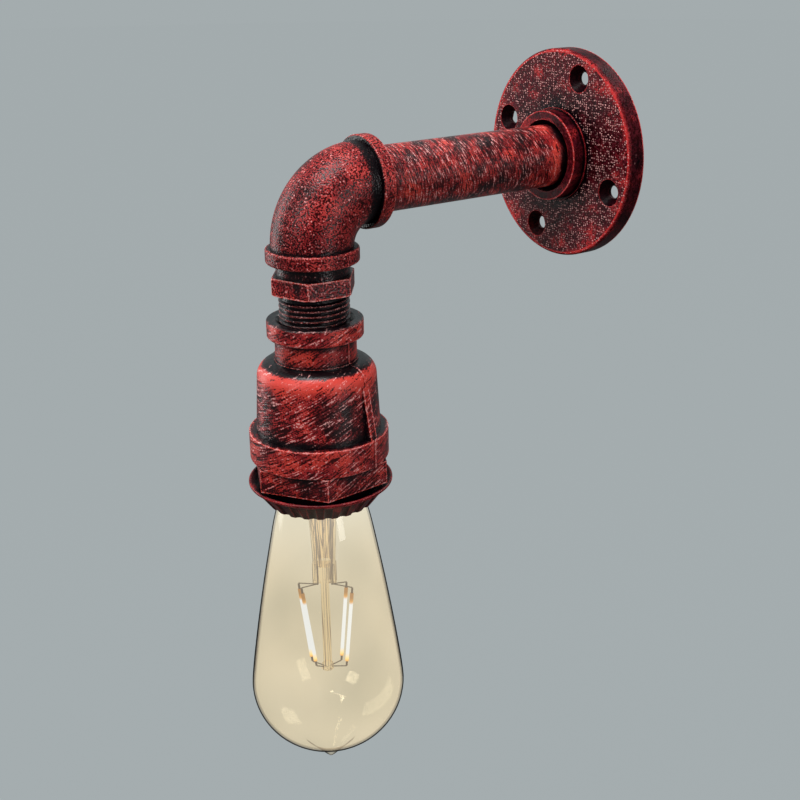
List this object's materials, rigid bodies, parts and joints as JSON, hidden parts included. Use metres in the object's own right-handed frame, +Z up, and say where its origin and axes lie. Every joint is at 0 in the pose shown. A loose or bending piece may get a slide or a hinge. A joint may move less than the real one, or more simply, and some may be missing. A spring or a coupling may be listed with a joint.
{
  "type": "industrial pipe wall light",
  "caption": "Wall light of pipe fittings: round wall flange, short horizontal pipe, elbow down, hexagon nipple and bell-shaped lampholder with a pear-shaped filament lamp.",
  "frame": {"origin": "centre of the flange's back on the wall plane, on the arm's axis", "axes": "+Z up, +Y into the wall, the arm runs out along -Y and the lamp hangs down along -Z"},
  "size_m": [0.0906, 0.1701, 0.3097],
  "materials": {
    "rustic_red_paint": "black base coat dry-brushed with dark red, satin, edges rubbed brighter",
    "zinc_steel": "zinc plated",
    "tinned_brass": "tinned",
    "black_phenolic": "moulded, semi-gloss",
    "white_ceramic": "unglazed",
    "nickel_brass": "nickel plated",
    "contact_brass": "plain",
    "black_sheath": "smooth",
    "brown_core": "smooth",
    "blue_core": "smooth",
    "earth_core": "green with a yellow stripe",
    "tinned_copper": "tinned copper, stated as brass",
    "black_glass": "vitrite, opaque",
    "lamp_cement": "set cement",
    "amber_glass": "champagne tinted, clear",
    "circuit_board": "glass fibre board",
    "capacitor_sleeve": "shrink sleeve",
    "lamp_wire": "nickel steel wire",
    "clear_glass": "clear",
    "filament_phosphor": "phosphor in silicone over a thin carrier"
  },
  "bodies": {
    "fixture": {"wall_flange": "rustic_red_paint", "arm_pipe": "rustic_red_paint", "elbow": "rustic_red_paint", "hex_nipple": "rustic_red_paint", "holder_casing": "rustic_red_paint", "mounting_plate": "zinc_steel", "plate_screws": "zinc_steel", "entry_tube": "zinc_steel", "lock_nut": "zinc_steel", "earth_tag": "tinned_brass", "holder_cap": "black_phenolic", "holder_insert": "white_ceramic", "holder_skirt": "black_phenolic", "screw_shell": "nickel_brass", "centre_contact": "contact_brass", "shell_contact": "contact_brass", "terminal_screws": "zinc_steel", "flex_sheath": "black_sheath", "live_lead": "brown_core", "neutral_lead": "blue_core", "earth_lead": "earth_core", "wire_ferrules": "tinned_copper"},
    "shade_ring": {"shade_ring": "rustic_red_paint"},
    "lamp_button": {"cap_button": "contact_brass"},
    "bulb": {"cap_insulator": "black_glass", "lamp_cap": "nickel_brass", "cap_cement": "lamp_cement", "bulb_glass": "amber_glass", "driver_board": "circuit_board", "driver_capacitor": "capacitor_sleeve", "button_wire": "lamp_wire", "stem_glass": "clear_glass", "feed_wire_1": "lamp_wire", "feed_wire_2": "lamp_wire", "led_filament_1": "filament_phosphor", "led_filament_2": "filament_phosphor", "led_filament_3": "filament_phosphor", "led_filament_4": "filament_phosphor", "filament_tabs": "lamp_wire", "link_wires": "lamp_wire"}
  },
  "joints": [
    {"name": "shade_ring_turn", "type": "hinge", "parent": "fixture", "child": "shade_ring", "pos_m": [0, -0.13595, -0.126], "axis": [0, 0, -1], "range_deg": [0, 720]},
    {"name": "bulb_travel", "type": "slide", "parent": "fixture", "child": "lamp_button", "axis": [0, 0, -1], "range_m": [0, 0.0145]},
    {"name": "bulb_turn", "type": "hinge", "parent": "lamp_button", "child": "bulb", "pos_m": [0, -0.13595, -0.126], "axis": [0, 0, -1], "range_deg": [0, 1440]}
  ],
  "couplings": [
    {"joint": "bulb_travel", "follows": "bulb_turn", "m_per_rad": 0.00057614}
  ]
}
